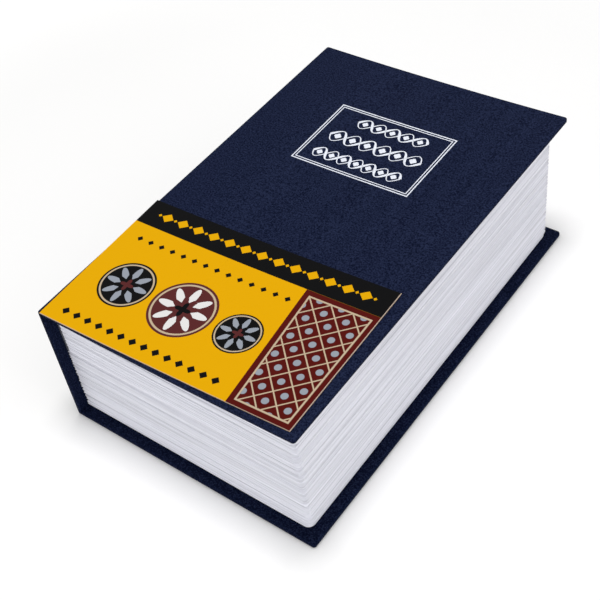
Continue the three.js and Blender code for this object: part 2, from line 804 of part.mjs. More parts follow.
const origin = new THREE.Vector3();
const casePieces = [
  ['back_board', backBoard(), greyBoard()],
  ['back_cloth', backCloth(), navyCloth()],
  ['back_pastedown', backPastedown(), endpaper()],
  ['spine_board', spineBoard(), greyBoard()],
  ['spine_cloth', spineCloth(), navyCloth()],
  ['page_block', pageBlock(), whiteMoulding()],
  ['safe_tray', safeTray(), darkSteel()],
  ['hinge_leaf_fixed', hingeLeafFixed(), greySteel()],
  ['hinge_pin', hingePin(), brightSteel()],
  ['strike_bracket', strikeBracket(), greySteel()],
];
trayScrewPlaces().forEach(([x, y], i) => {
  const screw = trayScrew().translate([x, y, trayBottom + traySheet]);
  casePieces.push([`tray_screw_${i + 1}`, screw, brightSteel()]);
});
hingeRivetPlaces().forEach((y, i) => {
  const headX = traySpineX + traySheet;
  const place = [headX, y, ledgeZ - fixedLeafRivetDrop];
  const side = rivet(headX - fixedLeafX).rotate([0, 90, 0]).translate(place);
  casePieces.push([`hinge_rivet_${i + 1}`, side, brightSteel()]);
});
strikeRivetPlaces().forEach((y, i) => {
  const place = [strikeWallX - strikeSheet, y, strikeRivetZ];
  const side = rivet(traySheet + strikeSheet).rotate([0, -90, 0]).translate(place);
  casePieces.push([`strike_rivet_${i + 1}`, side, brightSteel()]);
});
for (const [name, solid, material] of casePieces) addPiece(safe, origin, name, solid, material);

const coverPivot = new THREE.Vector3(coverHingeX, 0, coverHingeZ);
const cover = pivotGroup(safe, origin, coverPivot);
addPiece(cover, coverPivot, 'cover_board', coverBoard(), greyBoard());
addPiece(cover, coverPivot, 'cover_cloth', coverCloth(), navyCloth());
addPiece(cover, coverPivot, 'cover_pastedown', coverPastedown(), endpaper());
addPiece(cover, coverPivot, 'front_label', frontLabel(), printedCard());

const lidPivot = new THREE.Vector3(hingeX, 0, hingeZ);
const lid = pivotGroup(safe, origin, lidPivot);
addPiece(lid, lidPivot, 'lid_panel', lidPanel(), greySteel());
addPiece(lid, lidPivot, 'lid_hinge_leaf', lidHingeLeaf(), greySteel());
hingeRivetPlaces().forEach((y, i) => {
  const place = [hingeX + lidLeafRivetReach, y, lidTop + hingeSheet];
  const piece = rivet(lidSheet + hingeSheet, rivetTailHeight).translate(place);
  addPiece(lid, lidPivot, `lid_rivet_${i + 1}`, piece, brightSteel());
});
addPiece(lid, lidPivot, 'lock_case', lockCase(), brightSteel());
addPiece(lid, lidPivot, 'lock_body', lockBody(), brightSteel());
addPiece(lid, lidPivot, 'lock_nut', lockNut(), brightSteel());

const lockPivot = new THREE.Vector3(lockX, 0, lidTop);
const lock = pivotGroup(lid, lidPivot, lockPivot);
addPiece(lock, lockPivot, 'key_plug', keyPlug(), brass());
addPiece(lock, lockPivot, 'lock_cam', lockCam(), brightSteel());
addPiece(lock, lockPivot, 'cam_screw', camScrew(), brightSteel());

export default safe;
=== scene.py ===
"""The looks of a cash safe made like a closed cloth-bound book.

Lengths are in millimetres, and MM turns them into Blender's metres. X runs from the spine to the
fore-edge, Y from the tail to the head, and Z is up. The metal parts, boards and endpapers are the
frame's own solids. The cloth, the page block, the label and the foil are made here.
"""

import json
import math

import bpy
import numpy as np
from mathutils import Matrix, Vector


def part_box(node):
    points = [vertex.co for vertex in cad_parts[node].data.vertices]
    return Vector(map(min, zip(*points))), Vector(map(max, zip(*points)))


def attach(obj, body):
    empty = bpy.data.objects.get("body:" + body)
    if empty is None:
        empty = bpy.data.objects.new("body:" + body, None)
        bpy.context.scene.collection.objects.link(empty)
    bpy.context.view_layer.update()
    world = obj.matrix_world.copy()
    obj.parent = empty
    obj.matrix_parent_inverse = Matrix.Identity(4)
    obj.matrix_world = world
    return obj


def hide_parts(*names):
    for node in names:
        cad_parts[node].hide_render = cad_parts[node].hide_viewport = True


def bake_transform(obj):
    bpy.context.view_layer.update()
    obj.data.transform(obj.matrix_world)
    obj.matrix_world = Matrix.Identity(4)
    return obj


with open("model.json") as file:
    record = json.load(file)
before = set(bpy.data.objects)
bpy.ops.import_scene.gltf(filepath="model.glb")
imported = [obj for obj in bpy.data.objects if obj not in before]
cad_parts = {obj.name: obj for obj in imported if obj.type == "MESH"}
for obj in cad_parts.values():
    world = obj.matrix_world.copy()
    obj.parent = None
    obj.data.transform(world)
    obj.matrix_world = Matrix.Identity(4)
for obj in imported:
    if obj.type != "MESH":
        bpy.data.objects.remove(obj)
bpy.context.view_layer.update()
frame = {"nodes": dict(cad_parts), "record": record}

MM = 0.001
SMOOTH_ANGLE = 40


def frame_box(node):
    """Lowest and highest corner of one of the frame's solids, in millimetres."""
    low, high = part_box(node)
    return Vector(low) / MM, Vector(high) / MM


# Sizes taken from the frame
COVER_LOW, COVER_HIGH = frame_box("cover_cloth")
SPINE_LOW, SPINE_HIGH = frame_box("spine_cloth")
BACK_LOW, BACK_HIGH = frame_box("back_cloth")
PAGES_LOW, PAGES_HIGH = frame_box("page_block")
LEAF_LOW, LEAF_HIGH = frame_box("hinge_leaf_fixed")

HALF_LENGTH = COVER_HIGH.y
COVER_X = COVER_LOW.x
FORE_X = COVER_HIGH.x
BOOK_TOP = SPINE_HIGH.z
COVER_BOW = COVER_HIGH.z - BOOK_TOP
BOW_SPAN = FORE_X - COVER_X

# Book cloth
CLOTH_DARK, CLOTH_LIGHT = (0, 6, 30), (34, 42, 69)  # sRGB, 0 to 255
ENDPAPER_COLOUR = (27, 34, 62)
THREAD_PITCH = 0.45
CLOTH_THICKNESS = 0.25
WRAP_DEPTH = 2.2  # of a board with the cloth round it
TURN_IN = 10
BOARD_CORNER = 1.2
BOARD_EDGE = 0.7
SHOULDER = 1.8  # rounding where the cloth comes up off the spine
ARC_STEPS = 6
LEAST_RADIUS = 0.3
FORE_STEPS = 12
JOINT_STEPS = 11
FRONT_STEPS = 24  # across the front cover, which bows
BACK_STEPS = 4
LINING_DEPTH = 2.55
LINING_THICKNESS = 0.15
LINING_GAP = 0.03

# Page block
PAGE_WALL = 4
PAGE_CORNER = 2.8
RIM = 1.6
RIM_HEIGHT = 5.5
FOOT = 2
FOOT_WIDTH = 10
TRAY_CORNER = 3.3
LEDGE_Z = PAGES_HIGH.z - RIM_HEIGHT
WELL = (PAGES_LOW.x + PAGE_WALL, PAGES_HIGH.x - PAGE_WALL, PAGES_HIGH.y - PAGE_WALL)
RIVET_HOLE = 1.4  # radius, like the screws'
SCREW_HOLE = 1.8
HINGE_RIVET_YS = (-67.5, -22.5, 22.5, 67.5)
HINGE_RIVET_Z = LEDGE_Z - 9
REBATE_REACH = 0.9  # past the hinge leaf's outer face
REBATE_DEPTH = 22.3  # down from the hinge leaf's top
REBATE_HALF = 200  # past the page block's ends
REBATE_CORNER = 0.2
PAST = 5  # how far a cut goes past the faces that it opens
ROD_SIDES = 24
CUT_SMOOTH_ANGLE = 32

# Leaves
LEAF_SEED = 11
LEAVES = 30
LEAF_UNEVEN = (0.28, 1.9, 0.6)  # share by which heights differ, and its rhythm and phase
LEAF_DEPTH = 0.8
LEAF_STEP = 0.17  # height between two rows of points
LEAST_STEPS = 9
GROOVE_SHARE = (0.78, 0.22, 2.7)  # mean and swing of the grooves' depth, and its rhythm
RISE_POWER = 0.35  # how quickly a rib swells from its lower groove
FALL_POWER = 0.4  # and falls to its upper one
FINE_LEAVES = 3  # in each gathering
END_RELIEF = 0.9  # how deep the grooves are on the head and tail
FORE_RELIEF = 0.5  # and on the fore-edge, beside those at the corners
CREST_CORNER = 1.0  # corner radius where a gathering stands out
NOTCH_CORNER = 2.5  # and where two gatherings part
CORNER_NOTCH = 0.5  # how deep they part there
TOOTH = 1.1  # how far the grooves cut in at the spine end
PLAIN_TOP = 1.4
PLAIN_BOTTOM = 1
CHAMFER = 0.2
END_STEPS = 15  # points along an end, round a corner and along the fore-edge
TURN_STEPS = 13
SIDE_STEPS = 23
WANDER = ((0.09, 17, 23, 0.9), (0.05, -9, 7.3, 0.31))  # waves in the leaves' lines: height,
# length across and along the book, and shift from one level to the next
# Painted light: the moulding is lighter down to its foot over this height.
FOOT_PAINTED_LIGHT = 9  # height over which the moulding gets paler down to its foot

# Label
LABEL_SIZE = (109.6, 66.9)
LABEL_PLACE = (-1.3, -55.7)
LABEL_TILT = math.radians(1.55)
LABEL_GLUE = 0.05
LABEL_THICKNESS = 0.3
LABEL_ROWS = 15
LABEL_STEPS = (4, 11, 33)  # on the spine, over the joint and on the cover

# Print on the label, from its middle
PRINT_EDGE = 0.12  # half the softness of its edges
BAND_DEPTH = 12.8  # of the dark band along the head
PANEL_START = 26.0  # where the panel at the fore-edge begins
PANEL_SLOPE = 0.09
PANEL_LINE = (2.2, 2.9)  # margins of the line inside the panel
TRELLIS_PITCH = 9.0
TRELLIS_LINE = 0.35
TRELLIS_EYE = 1.9
BEAD_PITCH = 5.2
BEADS_BELOW, BEAD_BELOW = 27.8, 1.7  # distance from the middle, and size
BEADS_ABOVE, BEAD_ABOVE = 13.6, 1.3
BEADS_FROM, BEADS_TO = -9.5, 4.5  # in pitches
ROW_PITCH = 7.4
ROW_HEIGHT = 27.2
ROW_REACH = 49.2
MEDALLION_RING = (0.93, 0.87)  # shares of the radius
MEDALLION_STARS = ((0.82, 8, 0.3, 0.0), (0.5, 8, 0.22, math.pi), (0.26, 4, 0.3, 0.0))

# Foil on the cover
FOIL_PLACE = (-0.1, 40.8)
FOIL_TILT = math.radians(0.3)
FOIL_SIZE = (53.6, 36.8)
FOIL_LINES = ((0.27, 0.5), (1.38, 0.4))  # how far in each line lies, and its width
FOIL_LIFT = 0.02
FOIL_THICKNESS = 0.03
FOIL_SMOOTH_ANGLE = 20
FRAME_STEPS = 12  # along each side of the frame
DOT_SIDES = 20
DOT_SHARE = 0.46  # of the wave's height
WAVE_STEPS = 16  # along each half wave
PLAIT_STROKES = ((-1, 0.34, 0.5), (1, 0.42, 1.15))  # way, least width and greatest
PLAIT_LEAN = 0.25
PLAITS = (  # middle, half width, waves and height of each row
    ((1.5, 11.2), 16.0, 5, 2.9),
    ((0.3, 0.3), 21.0, 6, 3.4),
    ((-1.0, -10.9), 20.0, 7, 2.9),
)

# Metal's grain: how many patches to a metre in X, Y and Z
BRUSHED_GRAIN = (400, 60, 400)
PLUG_GRAIN = (300, 300, 300)
COAT_GRAIN = (900, 900, 900)

# Floor
FLOOR_REACH = 3000
FLOOR_COLOUR = (0.9, 0.9, 0.9, 1)
FLOOR_SEEN = (1, 0.992, 0.982, 1)  # as the camera sees it
FLOOR_GLOW = 0.05
FLOOR_FADE = (0.22, 0.7)  # metres from the book over which the floor turns plain white

# Camera and lights
CAMERA_PLACE = (212.088, -242.28, 350.975)
CAMERA_RIGHT = (0.802467, 0.585683, -0.114114)
CAMERA_DOWN = (0.365292, -0.633414, -0.682164)
FOCAL_PIXELS = 1164.18
PICTURE_PIXELS = 600
SENSOR_WIDTH = 36
ROOM_COLOUR = (0.98, 0.99, 1, 1)
ROOM_STRENGTH = 0.5
SOFTBOXES = (  # name, place, size and power
    ("softbox_above", (12, 5, 1000), 300, 4.75),
    ("softbox_front", (60, -1000, 150), 300, 2.0),
    ("softbox_right", (1000, -100, 150), 300, 1.9),
)


def bow(x):
    """Height of the front cover's outer face: it bows up towards the fore-edge."""
    along = np.clip((np.asarray(x, float) - COVER_X) / BOW_SPAN, 0, None)
    return BOOK_TOP + COVER_BOW * along**2


# Meshes

class Net:
    """Points and faces of one piece while it is drawn."""

    def __init__(self):
        self.points = []
        self.faces = []

    def row(self, points):
        start = len(self.points)
        self.points.extend(tuple(map(float, p)) for p in points)
        return list(range(start, len(self.points)))

    def strip(self, first, second, closed=False):
        count = len(first)
        for i in range(count if closed else count - 1):
            j = (i + 1) % count
            self.faces.append((first[i], first[j], second[j], second[i]))

    def grid(self, rows, closed=False):
        for first, second in zip(rows, rows[1:]):
            self.strip(first, second, closed)


def add_piece(name, net, *materials, smooth_angle=SMOOTH_ANGLE):
    """A mesh object whose points also keep their place at rest, which poses don't move."""
    mesh = bpy.data.meshes.new(name)
    mesh.from_pydata([tuple(MM * c for c in p) for p in net.points], [], net.faces)
    for material in materials:
        mesh.materials.append(material)
    piece = bpy.data.objects.new(name, mesh)
    bpy.context.scene.collection.objects.link(piece)
    finish_mesh(piece, smooth_angle)
    return piece


def finish_mesh(piece, smooth_angle):
    mesh = piece.data
    mesh.shade_smooth()
    mesh.set_sharp_from_angle(angle=math.radians(smooth_angle))
    place = np.zeros(3 * len(mesh.vertices), np.float32)
    mesh.vertices.foreach_get("co", place)
    rest = mesh.attributes.get("rest_place")
    if rest is None:
        rest = mesh.attributes.new("rest_place", "FLOAT_VECTOR", "POINT")
    rest.data.foreach_set("vector", place)


def settle(piece, smooth_angle=SMOOTH_ANGLE):
    """Applies the piece's modifiers."""
    graph = bpy.context.evaluated_depsgraph_get()
    final = bpy.data.meshes.new_from_object(piece.evaluated_get(graph))
    old = piece.data
    piece.modifiers.clear()
    piece.data = final
    bpy.data.meshes.remove(old)
    final.name = piece.name
    finish_mesh(piece, smooth_angle)
    return piece


def thicken(piece, thickness):
    skin = piece.modifiers.new("thickness", "SOLIDIFY")
    skin.thickness = thickness * MM
    skin.offset = -1
    return settle(piece)


# Binding

def leg_points(start, end, steps):
    """Points along a straight line, with both its ends."""
    return [tuple(s + (e - s) * k / steps for s, e in zip(start, end)) for k in range(steps + 1)]


def rounded_outline(x0, x1, y_half, radius):
    """Points round an upright block, seen from above."""
    corners = [(x1, -y_half, -90), (x1, y_half, 0), (x0, y_half, 90), (x0, -y_half, 180)]
    points = []
    for x, y, start in corners:
        centre = (x - math.copysign(radius, x - (x0 + x1) / 2), y - math.copysign(radius, y))
        points += arc_points(centre, radius, start)
    return points


def arc_points(centre, radius, start):
    """A quarter circle, counter-clockwise from an angle in degrees."""
    turns = [math.radians(start + 90 * k / ARC_STEPS) for k in range(ARC_STEPS + 1)]
    return [(centre[0] + radius * math.cos(t), centre[1] + radius * math.sin(t)) for t in turns]


def cover_outline(width, half, radius, steps):
    """Points round a cover from its spine side, which stays open: along the tail, round the corner,
    up the fore-edge, round the other corner and back along the head."""
    tail = arc_points((width - radius, radius - half), radius, -90)
    head = arc_points((width - radius, half - radius), radius, 0)
    points = leg_points((0, -half), tail[0], steps)[:-1] + tail
    points += leg_points(tail[-1], head[0], FORE_STEPS)[1:-1]
    return points + head + leg_points(head[-1], (0, half), steps)[1:]


def add_cover_wrap(net, place, width, steps, flip=False):
    """Cloth round a cover's board. place(u, v, depth) gives the point that lies u across, v along
    and so deep below the outer face."""
    rings = [(TURN_IN, WRAP_DEPTH), (BOARD_CORNER, WRAP_DEPTH)]
    quarter = [math.pi / 2 * k / ARC_STEPS for k in range(ARC_STEPS + 1)]
    for turn in quarter:
        depth = WRAP_DEPTH - BOARD_EDGE + BOARD_EDGE * math.cos(turn)
        rings.append((BOARD_EDGE - BOARD_EDGE * math.sin(turn), depth))
    for turn in quarter:
        inset = BOARD_EDGE - BOARD_EDGE * math.cos(turn)
        rings.append((inset, BOARD_EDGE - BOARD_EDGE * math.sin(turn)))
    rows = []
    for inset, depth in rings:
        radius = max(BOARD_CORNER - inset, LEAST_RADIUS)
        outline = cover_outline(width - inset, HALF_LENGTH - inset, radius, steps)
        rows.append(net.row([place(u, v, depth) for u, v in outline]))
    first_face = len(net.faces)
    net.grid(rows)
    last = rows[-1]
    for j in range(steps):
        net.faces.append((last[j], last[j + 1], last[-2 - j], last[-1 - j]))
    net.faces.append(tuple(last[steps : len(last) - steps]))
    if flip:
        net.faces[first_face:] = [face[::-1] for face in net.faces[first_face:]]


def spine_section(inset):
    """The spine seen from its tail end, counter-clockwise from the top of its inner side."""
    x0, x1 = SPINE_LOW.x + inset, SPINE_HIGH.x - inset
    z0, z1 = SPINE_LOW.z + inset, SPINE_HIGH.z - inset
    points = [(x1, z1)]
    for x, z, radius, start in (
        (x0, z1, SHOULDER, 90),
        (x0, z0, BOARD_EDGE, 180),
        (x1, z0, BOARD_EDGE, 270),
    ):
        radius = max(radius - inset, LEAST_RADIUS)
        centre = (x + radius if x == x0 else x - radius, z + radius if z == z0 else z - radius)
        points += arc_points(centre, radius, start)
    return points


def add_spine_wrap(net):
    """Cloth round the spine's board, open on its inner side between the turn-ins."""
    edges = [math.pi / 2 * k / ARC_STEPS for k in range(ARC_STEPS + 1)]
    head = []
    for turn in edges:
        y = HALF_LENGTH - BOARD_EDGE + BOARD_EDGE * math.sin(turn)
        head.append((y, BOARD_EDGE - BOARD_EDGE * math.cos(turn)))
    tail = [(-y, inset) for y, inset in head[::-1]]
    stations = tail + [(TURN_IN - HALF_LENGTH, 0), (HALF_LENGTH - TURN_IN, 0)] + head
    rows = [net.row([(x, y, z) for x, z in spine_section(inset)]) for y, inset in stations]
    open_row = len(edges)
    for i, (first, second) in enumerate(zip(rows, rows[1:])):
        net.strip(second, first, closed=True)
        if i == open_row:
            del net.faces[-1]
    net.faces += [tuple(rows[0]), tuple(rows[-1][::-1])]


def front_cloth(material):
    """One sheet of cloth over the spine, the joint and the front cover."""
    net = Net()

    def place(u, v, depth):
        return COVER_X + u, v, bow(COVER_X + u) - depth

    add_cover_wrap(net, place, BOW_SPAN, FRONT_STEPS)
    add_spine_wrap(net)
    gap = np.linspace(SPINE_HIGH.x, COVER_X, JOINT_STEPS)
    ends = arc_points((HALF_LENGTH - BOARD_EDGE, BOOK_TOP - BOARD_EDGE), BOARD_EDGE, 0)
    profile = [(-y, z) for y, z in ends] + ends[::-1]
    net.grid([net.row([(x, y, z) for x in gap]) for y, z in profile])
    piece = thicken(add_piece("book_cloth_front", net, material), CLOTH_THICKNESS)
    blend_at_joint(piece)
    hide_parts("spine_cloth", "cover_cloth")


def blend_at_joint(piece):
    """Bakes the piece's place into its points; nothing here ties it to the case or the cover."""
    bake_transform(piece)


def joint_lining(material):
    """Paper over the front board's edge, along the joint."""
    net = Net()
    low, high = BOOK_TOP - LINING_DEPTH, BOOK_TOP - CLOTH_THICKNESS - LINING_GAP
    x0, x1 = COVER_X - LINING_THICKNESS - LINING_GAP, COVER_X - LINING_GAP
    half = HALF_LENGTH - BOARD_EDGE
    rows = []
    for x, z in ((x0, low), (x1, low), (x1, high), (x0, high)):
        rows.append(net.row([(x, y, z) for y in (-half, half)]))
    for first, second in zip(rows, rows[1:] + rows[:1]):
        net.strip(second, first)
    net.faces += [tuple(row[0] for row in rows), tuple(row[1] for row in rows[::-1])]
    piece = add_piece("cover_joint_lining", net, material)
    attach(piece, "cover")


def back_cloth(material):
    net = Net()

    def place(u, v, depth):
        return BACK_LOW.x + u, v, depth

    add_cover_wrap(net, place, BACK_HIGH.x - BACK_LOW.x, BACK_STEPS, flip=True)
    piece = thicken(add_piece("book_cloth_back", net, material), CLOTH_THICKNESS)
    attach(piece, "case")
    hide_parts("back_cloth")


# Page block

def leaf_profile():
    """Heights up the page block, each with the depth of the surface, the corner radius and the
    depth at the corners: uneven gatherings, each a rounded rib with a few finer leaves in it."""

    def plain(z, depth):
        return z, depth, PAGE_CORNER, depth

    rng = np.random.default_rng(LEAF_SEED)
    uneven, rhythm, phase = LEAF_UNEVEN
    share = np.array([1 + uneven * math.sin(rhythm * i + phase) for i in range(LEAVES)])
    heights = share / share.sum() * (PAGES_HIGH.z - PAGES_LOW.z - PLAIN_TOP - PLAIN_BOTTOM)
    levels = [
        plain(PAGES_LOW.z, CHAMFER),
        plain(PAGES_LOW.z + CHAMFER, 0.0),
        plain(PAGES_LOW.z + PLAIN_BOTTOM - 0.2, 0.0),
    ]
    mean_groove, swing, groove_rhythm = GROOVE_SHARE
    z = PAGES_LOW.z + PLAIN_BOTTOM
    for i, height in enumerate(heights):
        groove = LEAF_DEPTH * (mean_groove + swing * math.sin(groove_rhythm * i))
        steps = max(int(height / LEAF_STEP), LEAST_STEPS)
        crest = rng.uniform(0.3, 0.62)
        end_rise = rng.uniform(0.0, 0.3)
        fine = []
        for _ in range(FINE_LEAVES):
            fine.append((rng.uniform(0.15, 0.85), rng.uniform(0.1, 0.3), rng.uniform(0.05, 0.1)))
        for k in range(steps):
            along = k / steps
            if along < crest:
                swell = math.sin(math.pi / 2 * along / crest) ** RISE_POWER
            else:
                fall = math.sin(math.pi / 2 * (1 - along) / (1 - crest)) ** FALL_POWER
                swell = end_rise + (1 - end_rise) * fall
            depth = groove * (1 - swell)
            for where, deep, wide in fine:
                depth += deep * math.exp(-(((along - where) / wide) ** 2))
            parted = 0.5 + 0.5 * math.cos(2 * math.pi * along)
            corner = CREST_CORNER + (NOTCH_CORNER - CREST_CORNER) * parted
            notch = CORNER_NOTCH * parted
            levels.append((z + along * height, min(depth, LEAF_DEPTH), corner, notch))
        z += height
    levels += [
        plain(z, LEAF_DEPTH / 2),
        plain(z + 0.2, 0.05),
        plain(PAGES_HIGH.z - 0.3, 0.0),
        plain(PAGES_HIGH.z, CHAMFER),
    ]
    return levels


def page_ring(z, depth, corner, notch, index):
    """The page block's outside at one height. The leaves fan out round the fore-edge corners."""
    points = []
    end, fore = END_RELIEF * depth, FORE_RELIEF * depth
    spine_x = PAGES_LOW.x + TOOTH * depth / LEAF_DEPTH
    x_corner = PAGES_HIGH.x - corner
    y_corner = PAGES_HIGH.y - corner
    for side, x0, x1 in ((-1, spine_x, x_corner), (1, x_corner, spine_x)):
        start = -90 if side < 0 else 0
        straight = [(x, side * (PAGES_HIGH.y - end)) for x in np.linspace(x0, x1, END_STEPS)]
        turns = np.radians(np.linspace(start, start + 90, TURN_STEPS))
        arc = []
        for k, t in enumerate(turns):
            round_it = k / (len(turns) - 1) if side < 0 else 1 - k / (len(turns) - 1)
            inset = end + (fore - end) * round_it
            inset += (notch - inset) * max(math.sin(math.pi * round_it), 0.0) ** 0.5
            radius = corner - inset
            arc.append((x_corner + radius * math.cos(t), side * y_corner + radius * math.sin(t)))
        if side < 0:
            points += straight[:-1] + arc
            side_ys = np.linspace(-y_corner, y_corner, SIDE_STEPS)[1:-1]
            points += [(PAGES_HIGH.x - fore, y) for y in side_ys]
        else:
            points += arc + straight[1:]
    inner = 0.0 if z in (PAGES_LOW.z, PAGES_HIGH.z) else 1.0
    ring = []
    for x, y in points:
        wander = 0
        for swing, across, along, beat in WANDER:
            wander += swing * math.sin(x / across + y / along + beat * index)
        ring.append((x, y, z + inner * wander))
    return ring


def block_cutter(name, x_reach, y_half, z_reach, radius):
    """A rounded upright block that is cut out of the page block."""
    net = Net()
    (x0, x1), (z0, z1) = x_reach, z_reach
    outline = rounded_outline(x0, x1, y_half, radius)
    low = net.row([(x, y, z0) for x, y in outline])
    high = net.row([(x, y, z1) for x, y in outline])
    net.strip(low, high, closed=True)
    net.faces += [tuple(low[::-1]), tuple(high)]
    return add_piece(name, net)


def rod_cutter(name, centre, radius, axis, reach):
    """A rod along X or Z that is cut out of the page block."""
    net = Net()
    turns = [2 * math.pi * k / ROD_SIDES for k in range(ROD_SIDES)]
    circle = [(radius * math.cos(t), radius * math.sin(t)) for t in turns]
    rows = []
    for end in reach:
        if axis == "x":
            ring = [(end, centre[0] + u, centre[1] + v) for u, v in circle]
        else:
            ring = [(centre[0] + u, centre[1] + v, end) for u, v in circle]
        rows.append(net.row(ring))
    net.strip(rows[0], rows[1], closed=True)
    net.faces += [tuple(rows[0][::-1]), tuple(rows[1])]
    return add_piece(name, net)


def cut_away(piece, cutters):
    for cutter in cutters:
        carve = piece.modifiers.new("cut", "BOOLEAN")
        carve.operation = "DIFFERENCE"
        carve.solver = "MANIFOLD"
        carve.object = cutter
    settle(piece, CUT_SMOOTH_ANGLE)
    for cutter in cutters:
        bpy.data.objects.remove(cutter)


def page_block(material):
    net = Net()
    levels = leaf_profile()
    rows = [net.row(page_ring(*level, i)) for i, level in enumerate(levels)]
    net.grid(rows, closed=True)
    net.faces += [tuple(rows[0][::-1]), tuple(rows[-1])]
    piece = add_piece("page_block_leaves", net, material)
    groove = piece.data.attributes.new("groove", "FLOAT", "POINT")
    depths = [level[1] / LEAF_DEPTH for level in levels]
    groove.data.foreach_set("value", np.repeat(depths, len(rows[0])))
    cut_away(piece, page_block_cutters())
    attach(piece, "case")
    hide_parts("page_block")


def page_block_cutters():
    """What is cut out for the tray, the lid, the hinge leaf, the rivets and the screws."""
    x0, x1, y_half = WELL
    above = PAGES_HIGH.z + PAST
    beyond = PAGES_LOW.x - PAST
    tray_floor = PAGES_LOW.z + FOOT
    foot_x = (x0 + FOOT_WIDTH, x1 - FOOT_WIDTH)
    recess_x = (beyond, PAGES_HIGH.x - RIM)
    rebate_x = (beyond, LEAF_LOW.x + REBATE_REACH)
    rebate_z = (LEAF_HIGH.z - REBATE_DEPTH, above)
    cutters = [
        block_cutter("well", (x0, x1), y_half, (tray_floor, above), TRAY_CORNER),
        block_cutter("foot", foot_x, y_half - FOOT_WIDTH, (0, tray_floor + 1), TRAY_CORNER),
        block_cutter("recess", recess_x, PAGES_HIGH.y - RIM, (LEDGE_Z, above), PAGE_CORNER - RIM),
        block_cutter("rebate", rebate_x, REBATE_HALF, rebate_z, REBATE_CORNER),
    ]
    for y in HINGE_RIVET_YS:
        reach = (PAGES_LOW.x - 1, x0 + 1)
        cutters.append(rod_cutter("rivet_hole", (y, HINGE_RIVET_Z), RIVET_HOLE, "x", reach))
    inset = FOOT_WIDTH / 2
    for x in (x0 + inset, x1 - inset):
        for y in (inset - y_half, y_half - inset):
            cutters.append(rod_cutter("screw_hole", (x, y), SCREW_HOLE, "z", (0, tray_floor + 1)))
    return cutters


# Label

def front_label(print_material, card_material):
    """The card, printed on top. It lies over the front cover, the joint and the spine's edge."""
    net = Net()
    cos, sin = math.cos(LABEL_TILT), math.sin(LABEL_TILT)
    half_w, half_h = LABEL_SIZE[0] / 2, LABEL_SIZE[1] / 2
    rows_top, rows_low = [], []
    on_spine, on_joint, on_cover = LABEL_STEPS
    for b in np.linspace(-half_h, half_h, LABEL_ROWS):
        left = LABEL_PLACE[0] - half_w * cos - b * sin
        right = LABEL_PLACE[0] + half_w * cos - b * sin
        xs = np.concatenate([
            np.linspace(left, SPINE_HIGH.x, on_spine)[:-1],
            np.linspace(SPINE_HIGH.x, COVER_X, on_joint),
            np.linspace(COVER_X, right, on_cover)[1:],
        ])
        row = []
        for x in xs:
            a = (x - LABEL_PLACE[0] + b * sin) / cos
            row.append((x, LABEL_PLACE[1] + a * sin + b * cos, float(bow(x)) + LABEL_GLUE))
        rows_low.append(net.row(row))
        rows_top.append(net.row([(x, y, z + LABEL_THICKNESS) for x, y, z in row]))
    net.grid(rows_top)
    printed = len(net.faces)
    for first, second in zip(rows_low, rows_low[1:]):
        net.strip(second, first)
    net.strip(rows_low[0], rows_top[0])
    net.strip(rows_top[-1], rows_low[-1])
    net.strip([r[0] for r in rows_top], [r[0] for r in rows_low])
    net.strip([r[-1] for r in rows_low], [r[-1] for r in rows_top])
    piece = add_piece("front_label_card", net, print_material, card_material)
    for i, face in enumerate(piece.data.polygons):
        face.material_index = 0 if i < printed else 1
    blend_at_joint(piece)
    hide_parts("front_label")


# Foil

def foil_place(a, b):
    """A point of the foil's own flat drawing, on the cover."""
    cos, sin = math.cos(FOIL_TILT), math.sin(FOIL_TILT)
    x = FOIL_PLACE[0] + a * cos - b * sin
    y = FOIL_PLACE[1] + a * sin + b * cos
    return x, y


def foil_stroke(net, line, width, closed=False):
    """A flat ribbon along a line of points, lying on the cover."""
    line = np.array(line, float)
    count = len(line)
    if closed:
        ahead, behind = np.roll(line, -1, 0), np.roll(line, 1, 0)
    else:
        ahead = np.vstack([line[1:], 2 * line[-1] - line[-2]])
        behind = np.vstack([2 * line[0] - line[1], line[:-1]])
    first, second = line - behind, ahead - line
    first /= np.linalg.norm(first, axis=1)[:, None]
    second /= np.linalg.norm(second, axis=1)[:, None]
    along = first + second
    along /= np.linalg.norm(along, axis=1)[:, None]
    reach = 1 / np.clip((along * first).sum(1), 0.5, 1)
    widths = np.full(count, width) if np.isscalar(width) else np.asarray(width)
    normal = np.stack([-along[:, 1], along[:, 0]], 1) * (widths / 2 * reach)[:, None]
    rows = []
    for side, lift in ((1, 0), (1, FOIL_THICKNESS), (-1, FOIL_THICKNESS), (-1, 0)):
        row = []
        for a, b in line + side * normal:
            x, y = foil_place(a, b)
            row.append((x, y, float(bow(x)) + FOIL_LIFT + lift))
        rows.append(net.row(row))
    for i in range(4):
        net.strip(rows[(i + 1) % 4], rows[i], closed)
    if not closed:
        net.faces.append(tuple(row[0] for row in rows))
        net.faces.append(tuple(row[-1] for row in rows[::-1]))


def rectangle(width, height):
    w, h = width / 2, height / 2
    corners = [(-w, -h), (w, -h), (w, h), (-w, h)]
    line = []
    for i in range(4):
        line += leg_points(corners[i], corners[(i + 1) % 4], FRAME_STEPS)[:-1]
    return line


def foil_frame(material):
    net = Net()
    for inset, width in FOIL_LINES:
        line = rectangle(FOIL_SIZE[0] - 2 * inset, FOIL_SIZE[1] - 2 * inset)
        foil_stroke(net, line, width, closed=True)
    piece = add_piece("title_frame_foil", net, material, smooth_angle=FOIL_SMOOTH_ANGLE)
    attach(piece, "cover")


